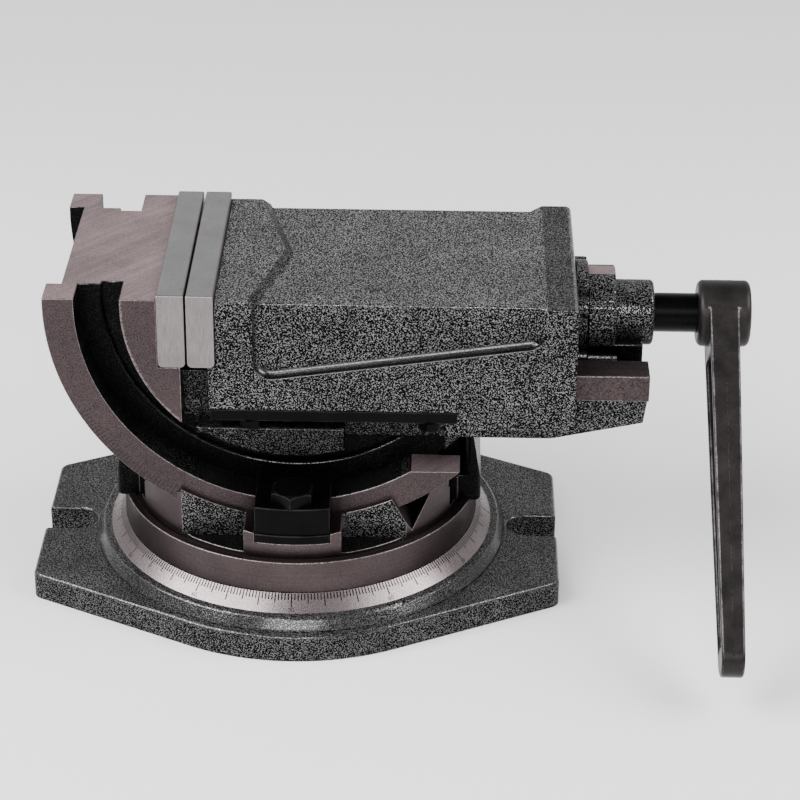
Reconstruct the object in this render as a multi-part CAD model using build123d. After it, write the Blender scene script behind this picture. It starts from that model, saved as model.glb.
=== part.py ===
from build123d import *
import os
from math import asin, cos, degrees, pi, radians, sin, sqrt, tan

# A 100 mm universal machine vise: a swivel base, a turntable with a concave
# seat, and a vise body that rocks in that seat and is clamped at any tilt.
# Origin: on the swivel axis, at the base's bottom face. +X points to the
# crank, -Y to the front, +Z up. All sizes are millimetres.

# ---- driving dimensions --------------------------------------------------
jaw_width = 100.0
slide_gap = 0.05            # running gap between faces that move on each other
fit_gap = 0.02              # radial gap of fixed pieces in their holes

# base plate
base_t = 11.6
base_r = 89.3
base_end_x = 108.0
base_end_half = 44.8
slot_w = 16.4
slot_depth = 21.0
rim_r = 86.0                # foot of the painted rim around the graduated cone
cone_r0 = 80.0
cone_z0 = 16.7
cone_r1 = 73.8
cone_z1 = 22.3
stud_circle_r = 60.0        # radius of the swivel T-slot
t_neck_w = 11.0
t_head_w = 19.0
t_head_z0 = 7.0
t_head_z1 = 15.0
bolt_entry_r = 12.5         # hole below, through which the T-bolts enter the slot
pivot_r = 10.0
pivot_z0 = 5.0              # bottom of the blind pivot bore

# turntable
table_z0 = cone_z1 + slide_gap
skirt_r = 73.6
ledge_z = 36.1
drum_r = 69.0
horn_z = 66.0
horn_half = 20.0
nut_seat_z = 47.0
cheek_y = 50.3              # inner faces of the front and rear cheeks
cheek_r = 91.5              # their tops follow this radius about the tilt axis
seat_lip_half = 19.5        # low wall that the clamp block stands in
seat_lip_z = 46.6
clamp_floor_z = 42.0
pocket_x1 = 45.4            # left end of the left pocket
pocket_y = 52.3             # upright back wall of the pockets
vee_x = 47.4                # bottom of the V opening, right of the right pocket
vee_z = 38.5
vee_slope = 0.54            # sideways run for each unit of height
vee_depth_y = 38.0

# tilt axis and rocker
tilt_z = 136.2
rim_outer = 97.0
rim_inner = 84.6
channel_inner = 67.0
channel_mid = 75.5
web_r = 91.0
body_half = 50.0
rim_in_y = 36.0
rim_end_z = 65.5
jaw_top_z = 139.7

# bed
fixed_face_x = -52.8        # seat of the fixed jaw plate
ledge_x = -44.0
rail_top_z = 105.5
rail_bot_z = 94.3
rail_half = 42.0
rail_in = 28.0
under_rail_half = 38.0
bed_end_x = 140.5
bed_bot_z = 74.6
bed_tip_z = 82.6
bed_flat_x = 102.0
floor_z = 92.0
well_x0 = -34.0
well_r = 80.0
block_half = 46.0           # cast block inside the channel, under the bed
block_top_z = 82.0

# jaw plates
plate_t = 10.8
plate_z0 = 110.4
plate_z1 = 141.7
plate_gap = 0.7             # gap left between the closed plates
plate_r = 2.0

# movable jaw
mov_x0 = fixed_face_x + 2 * plate_t + plate_gap
mov_foot_x = mov_x0 - 3.0
mov_x1 = 111.3
mov_half = 49.0
mid_half = 45.2             # the flank panels and the long top are set in to this
mid_top_z = 136.8
pad_top_z = 139.0
end_top_z = 137.8
end_ramp_x0 = 94.0          # the long top and the panels ramp out to the end block
end_ramp_x1 = 99.0
panel_x0 = -15.5
panel_z0 = 104.4            # ledge under the panel, at its left end
panel_z1 = 121.1
panel_floor_r = 2.8
pad_tip_x = -1.2            # foot of the raised pad, on the centre line
pad_side_x = -16.8          # foot of the pad beyond the flanks
pad_taper = 55.0
skirt_z = 91.5
deep_skirt_z = 84.0
deep_skirt_x = 65.0
cavity_x0 = -16.0
cavity_x1 = 93.5
cavity_half = 27.5
cavity_z = 128.0
rail_clear_y = rail_half + 0.2

# screw
screw_z = 113.3
thread_r = 9.0
journal_r = 8.0
screw_x0 = -14.0
thread_x1 = 110.8
hub_x0 = 161.3
hub_x1 = 182.5
hub_r = 13.5
nut_x0 = 66.0
nut_x1 = 92.0
crank_drop = 52.0           # degrees the crank leans from straight down
crank_len = 146.2           # hub centre to the centre of the rounded tip
crank_t0 = 12.0             # thickness at the hub
crank_t1 = 9.0              # thickness at the tip
crank_w0 = 26.4             # width at the hub
crank_w1 = 16.0
crank_web = 6.6             # left between the recesses along the arm's sides
hub_x = (hub_x0 + hub_x1) / 2
arm_x = hub_x - 0.5
crank_pin_r = 2.5

# tilt clamps
clamp_half = 15.0
clamp_bolt_y = 59.5
clamp_top_z = 57.5
claw_y = 38.5               # tip of the claw that hooks over the rocker's rim

# keeper strips
keeper_z0 = 86.8
keeper_x0 = -33.0
keeper_bolts_x = (-17.0, 54.0)
keeper_bolt_y = 45.5
keeper_bolt_r = 2.5
keeper_hex_af = 8.0

# thrust housing, with the collar and its washers inside
housing_x1 = 143.5
housing_block_x = 127.7
housing_flange_x = 116.8
housing_r = 13.25
housing_block_r = 19.0
housing_flange_r = 21.0
housing_screw_r = 2.0
housing_head_r = 3.4
housing_head_t = 2.6
housing_screws_at = [(y, z) for y in (-19.0, 19.0) for z in (screw_z - 11, screw_z + 11)]
thrust_x = mov_x1 + fit_gap
washer_t = 1.9
collar_t = 8.0
collar_r = 13.0
collar_pin_r = 2.0
collar_pin_x = thrust_x + 6.0
chamber_depth = 12.2

# other fasteners
hex_af = 16.0               # M10 heads and nuts
m10_r = 5.0
m8_r = 4.0
m8_head_r = 6.5
plate_screws_y = (-30.0, 30.0)
plate_screws_z = 127.0
nut_bolts_y = (-13.0, 13.0)
nut_bolts_x = (nut_x0 + nut_x1) / 2


# ---- helpers -------------------------------------------------------------
def block(x0, x1, y0, y1, z0, z1):
    """A box between two opposite corners."""
    middle = Pos((x0 + x1) / 2, (y0 + y1) / 2, (z0 + z1) / 2)
    return middle * Box(x1 - x0, y1 - y0, z1 - z0)


def disc(radius, z0, z1, x=0.0, y=0.0):
    """An upright cylinder."""
    return Pos(x, y, (z0 + z1) / 2) * Cylinder(radius, z1 - z0)


def rod(radius, x0, x1, y=0.0, z=screw_z):
    """A cylinder that lies along X."""
    return Pos((x0 + x1) / 2, y, z) * Rot(0, 90, 0) * Cylinder(radius, x1 - x0)


def drum(radius, y0, y1):
    """A cylinder along Y about the tilt axis."""
    return Pos(0, (y0 + y1) / 2, tilt_z) * Rot(90, 0, 0) * Cylinder(radius, y1 - y0)


def side_profile(points, y0, y1, corner=0.0, rounded=()):
    """An X-Z outline extruded across Y, with some corners rounded."""
    face = make_face(Polyline(*points, close=True))
    if corner:
        picks = [v for v in face.vertices() for p in rounded
                 if (Vector(*v) - Vector(*p)).length < 0.01]
        face = fillet(picks, corner)
    return extrude(Plane.XZ.offset(-y1) * face, amount=y1 - y0)


def end_profile(points, x0, x1):
    """A Y-Z outline extruded along X."""
    face = make_face(Polyline(*points, close=True))
    return extrude(Plane.YZ.offset(x0) * face, amount=x1 - x0)


def hexagon(across_flats, z0, z1, x, y, turn=0.0):
    """A hexagon head whose upper corners a 30 degree cone takes off."""
    flat = RegularPolygon(across_flats / 2, 6, major_radius=False)
    prism = extrude(Pos(x, y, z0) * Rot(0, 0, turn) * flat, amount=z1 - z0)
    top_r = across_flats / 2 * 0.97
    drop = (z1 - z0) * 0.9
    crown = Pos(x, y, z1 - drop) * Cone(
        top_r + drop / tan(radians(30)), top_r, drop,
        align=(Align.CENTER, Align.CENTER, Align.MIN))
    return prism & (crown + disc(across_flats, z0, z1 - drop, x, y))


def both_sides(shape):
    """A shape and its mirror image across the X-Z plane."""
    return shape + mirror(shape, about=Plane.XZ)


# ---- base ----------------------------------------------------------------
def base_outline():
    """Circle with tangent flanks that run to the two straight ends."""
    reach = sqrt(base_end_x ** 2 + base_end_half ** 2)
    corner_dir = degrees(asin(base_end_half / reach))
    tangent_dir = corner_dir + degrees(pi / 2 - asin(base_r / reach))
    tx = base_r * cos(radians(tangent_dir))
    ty = base_r * sin(radians(tangent_dir))
    points = [(base_end_x, base_end_half), (tx, ty), (-tx, ty),
              (-base_end_x, base_end_half), (-base_end_x, -base_end_half),
              (-tx, -ty), (tx, -ty), (base_end_x, -base_end_half)]
    flanks = make_face(Polyline(*points, close=True))
    ends = [v for v in flanks.vertices() if abs(v.X) > base_end_x - 1]
    return fillet(ends, 5.0) + Circle(base_r)


def base_plate():
    plate = extrude(base_outline(), amount=base_t)
    top = [e for e in plate.edges() if e.center().Z > base_t - 0.01]
    plate = fillet(top, 1.6)
    slot_x = base_end_x - slot_depth + slot_w / 2
    for side in (-1, 1):
        x_in, x_out = sorted((side * slot_x, side * (base_end_x + 5)))
        plate -= block(x_in, x_out, -slot_w / 2, slot_w / 2, -1, base_t + 1)
        plate -= disc(slot_w / 2, -1, base_t + 1, side * slot_x)
    # raised rim, then the turned graduated cone that stands inside it
    rim = [(0, 1), (rim_r, 1), (rim_r, base_t + 0.6), (rim_r - 3.0, cone_z0),
           (cone_r0, cone_z0), (cone_r1, cone_z1), (0, cone_z1)]
    turned = make_face(Polyline(*rim, close=True))
    shoulder = [v for v in turned.vertices() if rim_r - 3.5 < v.X and v.Y > base_t]
    turned = fillet(shoulder, 1.7)
    plate += revolve(Plane.XZ * turned, Axis.Z, 360)
    # circular T-slot for the two swivel bolts, with one entry hole below
    for half_w, z0, z1 in ((t_neck_w / 2, t_head_z1 - 0.5, cone_z1 + 1),
                           (t_head_w / 2, t_head_z0, t_head_z1)):
        ring = Circle(stud_circle_r + half_w) - Circle(stud_circle_r - half_w)
        plate -= extrude(Pos(0, 0, z0) * ring, amount=z1 - z0)
    plate -= disc(bolt_entry_r, -1, t_head_z0 + 1, 0, stud_circle_r)
    return plate - disc(pivot_r + fit_gap, pivot_z0, cone_z1 + 1)


def pivot_pin():
    pin = disc(pivot_r, pivot_z0 + fit_gap, ledge_z + 0.5)
    return chamfer(pin.edges().filter_by(GeomType.CIRCLE), 1.2)


# ---- turntable -----------------------------------------------------------
def horn():
    """The tapered lug at one end, outside the swivel nut."""
    points = [(50, ledge_z - 1), (75.2, ledge_z - 1), (75.2, 44), (71.8, horn_z), (50, horn_z)]
    lug = side_profile(points, -horn_half, horn_half)
    lug = fillet(lug.edges().filter_by(Axis.Z), 3.0)
    return lug


def clamp_seat():
    """Room cut for the front clamp, with a low wall left in front of it."""
    pocket = block(-clamp_half - 0.15, clamp_half + 0.15, -80, -cheek_y + 1, clamp_floor_z, 90)
    above = block(-seat_lip_half - 1.5, seat_lip_half + 1.5, -80, -cheek_y + 1, seat_lip_z, 90)
    above = fillet(above.edges().filter_by(Axis.Y).group_by(Axis.Z)[0], 0.8)
    return pocket + above


def side_pockets():
    """Cast pockets either side of the front clamp: an upright wall over a flat floor."""
    left = block(-pocket_x1, -seat_lip_half, -80, -pocket_y, ledge_z, 90)
    top_z = vee_z + (vee_x - seat_lip_half) / vee_slope
    outline = [(seat_lip_half, ledge_z), (vee_x, ledge_z), (vee_x, vee_z), (seat_lip_half, top_z)]
    return left + side_profile(outline, -80, -pocket_y)


def vee_opening():
    """The V opening right of the front clamp."""
    reach = vee_slope * (90 - vee_z)
    outline = [(vee_x, vee_z), (vee_x + reach, 90), (vee_x - reach, 90)]
    return side_profile(outline, -80, -vee_depth_y)


def turntable():
    table = disc(skirt_r, table_z0, ledge_z) + disc(drum_r, ledge_z - 1, horn_z)
    lug = horn()
    table += lug + mirror(lug, about=Plane.YZ)
    # V groove turned where the drum meets the skirt
    groove = Circle(drum_r + 1.6) - Circle(drum_r - 1.0)
    table -= extrude(Pos(0, 0, ledge_z - 1.4) * groove, amount=1.4)
    # concave seat for the rocker, and the concave tops of the cheeks
    table -= drum(rim_outer + slide_gap, -cheek_y, cheek_y)
    table -= both_sides(drum(cheek_r, cheek_y - 0.5, skirt_r + 5))
    table -= both_sides(clamp_seat())
    table -= both_sides(side_pockets())
    table -= both_sides(vee_opening())
    # small index notch at the left pocket's corner
    nick = [(-pocket_x1, 90), (-pocket_x1, 55.6), (-50.0, 52.5), (-52.6, 60.5), (-52.6, 90)]
    table -= both_sides(side_profile(nick, -80, -cheek_y + 2))
    # spanner room around each swivel nut
    room = block(49.5, 70.3, 0, 30, nut_seat_z, 90)
    room += block(58, 90, horn_half + 1.5, 29, ledge_z, 90)
    room = both_sides(room)
    table -= room + mirror(room, about=Plane.YZ)
    # holes: pivot, swivel bolts, clamp bolts
    table -= disc(pivot_r + 0.03, table_z0 - 1, ledge_z + 1)
    for side in (-1, 1):
        table -= disc(m10_r + 0.5, table_z0 - 1, 60, side * stud_circle_r)
        table -= disc(m10_r + 0.05, 26, 60, 0, side * clamp_bolt_y)
    return table


def tilt_clamp():
    """Front clamp: a block with a claw over the rocker's rim."""
    body = block(-clamp_half, clamp_half, -80, -cheek_y + 0.1, clamp_floor_z + fit_gap,
                 clamp_top_z)
    lip = disc(drum_r, clamp_floor_z, clamp_floor_z + 3.7)
    front = disc(drum_r - 0.8, clamp_floor_z, clamp_top_z)
    body &= lip + front
    claw = block(-clamp_half, clamp_half, -cheek_y, -claw_y, 40, clamp_top_z)
    claw &= drum(rim_inner - slide_gap, -cheek_y - 1, -claw_y + 1)
    top_edges = (body + claw).edges().group_by(Axis.Z)[-1]
    clamp = chamfer(top_edges.filter_by(Axis.X), 1.0)
    return clamp - disc(m10_r + 0.5, 30, 70, 0, -clamp_bolt_y)


def clamp_bolt():
    head_z = clamp_top_z + fit_gap
    bolt = hexagon(hex_af, head_z, head_z + 5.4, 0, -clamp_bolt_y, 26)
    shank = disc(m10_r, 28, head_z + 1, 0, -clamp_bolt_y)
    return bolt + chamfer(shank.edges().group_by(Axis.Z)[0], 0.8)


def swivel_bolt(side):
    x = side * stud_circle_r
    head = block(x - 8.5, x + 8.5, -8.5, 8.5, t_head_z0 + 0.3, t_head_z1 - 0.1)
    neck = disc(m10_r, t_head_z1 - 0.5, 61.5, x)
    return head + chamfer(neck.edges().group_by(Axis.Z)[-1], 0.8)


def swivel_washer(side):
    ring = Circle(9.2) - Circle(m10_r + 0.3)
    return extrude(Pos(side * stud_circle_r, 0, nut_seat_z + fit_gap) * ring, amount=2.0)


def swivel_nut(side):
    x = side * stud_circle_r
    z0 = nut_seat_z + 2.0 + 2 * fit_gap
    return hexagon(hex_af, z0, z0 + 8.4, x, 0, 12) - disc(m10_r + 0.03, 40, 70, x)


# ---- vise body -----------------------------------------------------------
def rocker():
    """The arcs that sit in the turntable, with the channels behind the rims."""
    arcs = drum(web_r, -rim_in_y, rim_in_y) + both_sides(drum(rim_outer, rim_in_y, body_half))
    arcs -= both_sides(drum(rim_inner, rim_in_y, body_half + 1)
                       - drum(channel_inner, rim_in_y - 1, body_half + 2))
    # the channel's floor is stepped: deeper towards the tilt axis
    arcs -= both_sides(drum(channel_mid, rim_in_y - 2.5, rim_in_y + 1)
                       - drum(channel_inner, rim_in_y - 3, rim_in_y + 2))
    # everything above the bed, and the rims right of the bottom
    arcs -= block(-120, 120, -60, 60, jaw_top_z, 260)
    arcs -= block(ledge_x, 120, -60, 60, block_top_z, 260)
    arcs -= both_sides(block(20, 120, rim_in_y, 60, rim_end_z, 260))
    # the cast block under the bed is set back from the machined faces
    arcs -= both_sides(block(ledge_x, 120, block_half, 60, 0, 260)
                       & drum(channel_inner, rim_in_y, 61))
    return arcs


def bed():
    """The two rails on their casting, which rises towards the screw end."""
    points = [(ledge_x - 2, rail_top_z), (bed_end_x, rail_top_z), (bed_end_x, rail_bot_z),
              (bed_end_x - 1.5, bed_tip_z), (bed_flat_x, bed_bot_z), (20, bed_bot_z),
              (ledge_x - 2, bed_bot_z)]
    casting = side_profile(points, -under_rail_half, under_rail_half)
    casting -= block(-120, -40, -60, 60, 0, rail_bot_z - 4) - drum(channel_inner, -60, 60)
    rails = block(ledge_x - 2, bed_end_x, -rail_half, rail_half, rail_bot_z, rail_top_z)
    return casting + rails


def body_well():
    """The open channel between the rails, deep where the rocker is."""
    deep = block(well_x0, 60, -rail_in, rail_in, 0, 200) & drum(well_r, -60, 60)
    deep &= block(well_x0, 60, -60, 60, 0, 130)
    return deep + block(well_x0, 160, -rail_in, rail_in, floor_z, 200)


def vise_body():
    body = rocker() + bed()
    body -= body_well()
    body -= block(fixed_face_x, 160, -60, 60, plate_z0, 260)
    for y in plate_screws_y:
        body -= rod(m8_r + 0.05, fixed_face_x - 16, fixed_face_x + 1, y, plate_screws_z)
    for y in nut_bolts_y:
        body -= disc(m8_r + 0.5, bed_bot_z - 1, floor_z + 1, nut_bolts_x, y)
        body -= disc(m8_head_r + 0.5, bed_bot_z - 1, bed_bot_z + 9, nut_bolts_x, y)
    return body


def jaw_plate(x0, screw_dir):
    """Ground plate; its two screws enter from the gripping side."""
    plate = block(x0, x0 + plate_t, -jaw_width / 2, jaw_width / 2, plate_z0, plate_z1)
    low = plate.edges().filter_by(Axis.Y).group_by(Axis.Z)[0]
    plate = fillet(low, plate_r)
    plate = chamfer(plate.edges().group_by(Axis.Z)[-1], 0.5)
    grip = x0 + plate_t if screw_dir > 0 else x0
    counterbore = sorted((grip + screw_dir, grip - screw_dir * 8.5))
    for y in plate_screws_y:
        plate -= rod(m8_r + 0.3, x0 - 1, x0 + plate_t + 1, y, plate_screws_z)
        plate -= rod(m8_head_r + 0.5, *counterbore, y, plate_screws_z)
    return plate


def jaw_screw(grip, screw_dir, y):
    """M8 socket screw: head just below the gripping face."""
    head_out = grip - screw_dir * 0.4
    head_in = head_out - screw_dir * 8.0
    tip = grip - screw_dir * (plate_t + 14)
    screw = rod(m8_head_r, *sorted((head_out, head_in)), y, plate_screws_z)
    screw += rod(m8_r, *sorted((head_in, tip)), y, plate_screws_z)
    socket = Pos(y, plate_screws_z) * RegularPolygon(3.0, 6, major_radius=False)
    socket_x = min(head_out, head_out - screw_dir * 4)
    return screw - extrude(Plane.YZ.offset(socket_x) * socket, amount=4)


# ---- nut in the bed ------------------------------------------------------
def screw_nut():
    body = block(nut_x0, nut_x1, -20, 20, floor_z + fit_gap, 103)
    tower = block(nut_x0, nut_x1, -14.5, 14.5, 100, screw_z) + rod(14.5, nut_x0, nut_x1)
    body += tower
    body = chamfer(body.edges().filter_by(Axis.Z).group_by(Axis.X)[0], 1.0)
    body -= rod(thread_r + 0.05, nut_x0 - 1, nut_x1 + 1)
    for y in nut_bolts_y:
        body -= disc(m8_r + fit_gap, floor_z - 1, 101, nut_bolts_x, y)
    return body


def nut_bolt(y):
    """M8 socket screw that enters from below the bed."""
    head = disc(m8_head_r, bed_bot_z + 0.9, bed_bot_z + 8.9, nut_bolts_x, y)
    socket = RegularPolygon(3.0, 6, major_radius=False)
    head -= extrude(Pos(nut_bolts_x, y, bed_bot_z) * socket, amount=4.9)
    return head + disc(m8_r, bed_bot_z + 8, 100, nut_bolts_x, y)


# ---- movable jaw ---------------------------------------------------------
def panel_cut(y_sign):
    """Shallow panel on one flank, open at the top, over a rising ledge."""
    low_left, low_right = (panel_x0, panel_z0), (end_ramp_x1, panel_z1)
    points = [(panel_x0, 150), low_left, low_right, (end_ramp_x1, 150)]
    cut = side_profile(points, mid_half, mov_half + 1, 7.0, [low_left, low_right])
    floor = cut.faces().sort_by(Axis.Y)[0]
    cut = fillet([e for e in floor.edges() if e.center().Z < 149], panel_floor_r)
    slope = (end_ramp_x1 - end_ramp_x0) / (mov_half - mid_half)
    plan = [(panel_x0 - 1, mid_half), (end_ramp_x0, mid_half),
            (end_ramp_x1 + slope, mov_half + 1), (panel_x0 - 1, mov_half + 1)]
    cut &= extrude(Pos(0, 0, 90) * make_face(Polyline(*plan, close=True)), amount=70)
    return cut if y_sign > 0 else mirror(cut, about=Plane.XZ)


def raised_pad():
    """Five-sided pad behind the plate, with sloping sides."""
    half = mov_half + 11
    foot = [(mov_x0 - 10, -half), (pad_side_x, -half), (pad_tip_x, 0), (pad_side_x, half),
            (mov_x0 - 10, half)]
    start_z = mid_top_z - 0.3
    pad = extrude(Pos(0, 0, start_z) * make_face(Polyline(*foot, close=True)),
                  amount=pad_top_z - start_z, taper=pad_taper)
    return pad & block(mov_x0, 50, -mov_half, mov_half, start_z, pad_top_z)


def movable_jaw():
    outline = [(mov_foot_x, skirt_z), (deep_skirt_x, skirt_z), (deep_skirt_x + 2, deep_skirt_z),
               (mov_x1, deep_skirt_z), (mov_x1, end_top_z), (end_ramp_x1, end_top_z),
               (end_ramp_x0, mid_top_z), (mov_x0, mid_top_z), (mov_x0, plate_z0 - fit_gap),
               (mov_foot_x, plate_z0 - fit_gap)]
    jaw = side_profile(outline, -mov_half, mov_half)
    upright = jaw.edges().filter_by(Axis.Y).group_by(Axis.X)[-1]
    jaw = fillet(upright.group_by(Axis.Z)[-1], 2.5)
    for sign in (-1, 1):
        jaw -= panel_cut(sign)
    jaw += raised_pad()
    # rail clearance, then the hollow that the nut stands in
    jaw -= block(-60, 140, -rail_clear_y, rail_clear_y, 0, rail_top_z + fit_gap)
    jaw -= block(cavity_x0, cavity_x1, -cavity_half, cavity_half, 0, cavity_z)
    jaw -= rod(thread_r + 0.6, cavity_x1 - 1, mov_x1 + 1)
    for y in plate_screws_y:
        jaw -= rod(m8_r + 0.05, mov_x0 - 1, mov_x0 + 14.5, y, plate_screws_z)
    for y, z in housing_screws_at:
        jaw -= rod(housing_screw_r + fit_gap, mov_x1 - 14, mov_x1 + 1, y, z)
    for side in (-1, 1):
        for x in keeper_bolts_x:
            jaw -= disc(keeper_bolt_r + fit_gap, skirt_z - 1, skirt_z + 12, x,
                        side * keeper_bolt_y)
    return jaw


def keeper_strip():
    """Front strip under the skirt; its tongue runs under the rail."""
    strip = block(keeper_x0, deep_skirt_x - 0.2, -mov_half + 0.1, -under_rail_half - 0.4,
                  keeper_z0, skirt_z - fit_gap)
    strip += block(keeper_x0, deep_skirt_x - 0.2, -rail_half + 0.2, -under_rail_half - 0.4,
                   keeper_z0 + 1, rail_bot_z - slide_gap)
    for x in keeper_bolts_x:
        strip -= disc(keeper_bolt_r + 0.25, keeper_z0 - 1, skirt_z + 1, x, -keeper_bolt_y)
    return strip


def keeper_bolt(x, side):
    """M5 hexagon bolt that hangs head down under the strip."""
    y = side * keeper_bolt_y
    head = mirror(hexagon(keeper_hex_af, -keeper_z0, -keeper_z0 + 3.5, x, y, 15), about=Plane.XY)
    shank = disc(keeper_bolt_r, keeper_z0 - 1, skirt_z + 10, x, y)
    return Pos(0, 0, -fit_gap) * (head + shank)


# ---- thrust housing and screw ----------------------------------------------
def thrust_housing():
    shell = rod(housing_flange_r, thrust_x, housing_flange_x)
    shell += block(thrust_x, housing_flange_x, -19, 19, 96.0, screw_z)
    for y, z in housing_screws_at:
        shell += rod(4.2, thrust_x, housing_flange_x, y, z)
    shell += rod(housing_block_r, thrust_x + 1, housing_block_x)
    shell += rod(housing_r, housing_block_x - 2, housing_x1)
    shell = fillet(shell.edges().filter_by(GeomType.CIRCLE).group_by(Axis.X)[-1], 1.6)
    shell -= block(housing_flange_x, housing_block_x + 1, -20, 20, screw_z + 18.6, 150)
    # guide tongue between the rails, under the sleeve
    shell += block(housing_flange_x - 1, 139.0, -17, 17, floor_z + 3.0, 107)
    # bearing bore, and the chamber for the collar and its washers
    shell -= rod(journal_r + 0.05, thrust_x - 1, housing_x1 + 1)
    shell -= rod(collar_r + 1.0, thrust_x - 1, thrust_x + chamber_depth)
    for y, z in housing_screws_at:
        shell -= rod(housing_screw_r + 0.2, thrust_x - 1, housing_flange_x + 1, y, z)
        shell -= rod(housing_head_r + 0.3, housing_flange_x - housing_head_t - 0.2,
                     housing_block_x + 1, y, z)
    return shell


def housing_screw(y, z):
    """M4 socket screw whose head is sunk flush in the flange."""
    seat = housing_flange_x - housing_head_t - 0.2 + fit_gap
    head = rod(housing_head_r, seat, seat + housing_head_t, y, z)
    socket = RegularPolygon(1.5, 6, major_radius=False)
    head -= extrude(Plane.YZ.offset(seat + 1.2) * Pos(y, z) * socket, amount=3)
    return head + rod(housing_screw_r, mov_x1 - 12, seat + 0.5, y, z)


def thrust_washer(x0):
    ring = rod(collar_r + 0.6, x0, x0 + washer_t)
    return ring - rod(journal_r + 0.1, x0 - 1, x0 + washer_t + 1)


def thrust_collar():
    x0 = thrust_x + washer_t + 0.1
    collar = rod(collar_r, x0, x0 + collar_t)
    collar = chamfer(collar.edges().filter_by(GeomType.CIRCLE), 0.6)
    collar -= rod(journal_r + fit_gap, x0 - 1, x0 + collar_t + 1)
    return collar - disc(collar_pin_r + fit_gap, 80, 150, collar_pin_x)


def collar_pin():
    reach = collar_r - 0.3
    return disc(collar_pin_r, screw_z - reach, screw_z + reach, collar_pin_x)


def lead_screw():
    thread = rod(thread_r, screw_x0, thread_x1)
    screw = chamfer(thread.edges().filter_by(GeomType.CIRCLE), 1.4)
    screw += rod(journal_r, thread_x1 - 1, hub_x1 - 1.0)
    screw -= disc(collar_pin_r + fit_gap, 80, 150, collar_pin_x)
    return screw - crank_frame() * crank_pin_bore()


def crank_frame():
    """Local +Z runs back along the crank from its tip through the hub."""
    return Pos(0, 0, screw_z) * Rot(-crank_drop, 0, 0)


def crank_pin_bore():
    return disc(crank_pin_r + fit_gap, -20, 20, hub_x)


def crank_handle():
    """Hub with an arm that tapers in width and thickness, recessed along both sides."""
    tip = -crank_len
    half0, half1 = crank_w0 / 2, crank_w1 / 2
    outline = [(-half0, 0), (-half1, tip), (half1, tip), (half0, 0)]
    arm = end_profile(outline, hub_x - crank_t0, hub_x + crank_t0)
    arm += Pos(hub_x, 0, tip) * Rot(0, 90, 0) * Cylinder(half1, 2 * crank_t0)
    slim = crank_len + half1
    edge = [(arm_x - crank_t0 / 2, 0), (arm_x - crank_t1 / 2, -slim),
            (arm_x + crank_t1 / 2, -slim), (arm_x + crank_t0 / 2, 0)]
    arm &= side_profile(edge, -40, 40)
    tip_edges = [e for e in arm.edges().filter_by(Axis.Y) if e.center().Z < tip - half1 + 0.1]
    if tip_edges:
        arm = fillet(tip_edges, 1.2)
    groove = [(-half0 + 3.8, -20), (-half1 + 3.3, tip + 3), (half1 - 3.3, tip + 3),
              (half0 - 3.8, -20)]
    for side in (-1, 1):
        floor = arm_x + side * crank_web / 2
        arm -= end_profile(groove, *sorted((floor, floor + side * crank_t0)))
    hub = Pos(hub_x, 0, 0) * Rot(0, 90, 0) * Cylinder(hub_r, hub_x1 - hub_x0)
    hub = fillet(hub.edges().filter_by(GeomType.CIRCLE), 2.4)
    bore = Pos(hub_x, 0, 0) * Rot(0, 90, 0) * Cylinder(journal_r + fit_gap, 30)
    return crank_frame() * (hub + arm - bore - crank_pin_bore())


def crank_pin():
    return crank_frame() * disc(crank_pin_r, -hub_r + 0.4, hub_r - 0.4, hub_x)


# ---- write every node ------------------------------------------------------
def rear(shape):
    return mirror(shape, about=Plane.XZ)


grip_fixed = fixed_face_x + plate_t
grip_moving = mov_x0 - plate_t

nodes = {
    "base_plate": base_plate(),
    "pivot_pin": pivot_pin(),
    "turntable": turntable(),
    "swivel_t_bolts": Compound([swivel_bolt(s).solid() for s in (-1, 1)]),
    "swivel_washers": Compound([swivel_washer(s).solid() for s in (-1, 1)]),
    "left_swivel_nut": swivel_nut(-1),
    "right_swivel_nut": swivel_nut(1),
    "front_tilt_clamp": tilt_clamp(),
    "rear_tilt_clamp": rear(tilt_clamp()),
    "front_clamp_bolt": clamp_bolt(),
    "rear_clamp_bolt": rear(clamp_bolt()),
    "vise_body": vise_body(),
    "fixed_jaw_plate": jaw_plate(fixed_face_x, 1),
    "fixed_jaw_screws": Compound([jaw_screw(grip_fixed, 1, y).solid()
                                  for y in plate_screws_y]),
    "screw_nut": screw_nut(),
    "screw_nut_bolts": Compound([nut_bolt(y).solid() for y in nut_bolts_y]),
    "movable_jaw": movable_jaw(),
    "movable_jaw_plate": jaw_plate(grip_moving, -1),
    "movable_jaw_screws": Compound([jaw_screw(grip_moving, -1, y).solid()
                                    for y in plate_screws_y]),
    "front_keeper_strip": keeper_strip(),
    "rear_keeper_strip": rear(keeper_strip()),
    "front_keeper_bolts": Compound([keeper_bolt(x, -1).solid() for x in keeper_bolts_x]),
    "rear_keeper_bolts": Compound([keeper_bolt(x, 1).solid() for x in keeper_bolts_x]),
    "thrust_housing": thrust_housing(),
    "thrust_housing_screws": Compound([housing_screw(y, z).solid()
                                       for y, z in housing_screws_at]),
    "inner_thrust_washer": thrust_washer(thrust_x),
    "outer_thrust_washer": thrust_washer(thrust_x + washer_t + collar_t + 0.2),
    "thrust_collar": thrust_collar(),
    "collar_pin": collar_pin(),
    "lead_screw": lead_screw(),
    "crank_handle": crank_handle(),
    "crank_pin": crank_pin(),
}

os.makedirs("parts", exist_ok=True)
for name, shape in nodes.items():
    export_step(shape, f"parts/{name}.step")
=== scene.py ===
from math import cos, degrees, pi, radians, sin, sqrt, tau

import bmesh
import bpy
from mathutils import Matrix, Vector
from mathutils.noise import noise as noise_value


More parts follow.
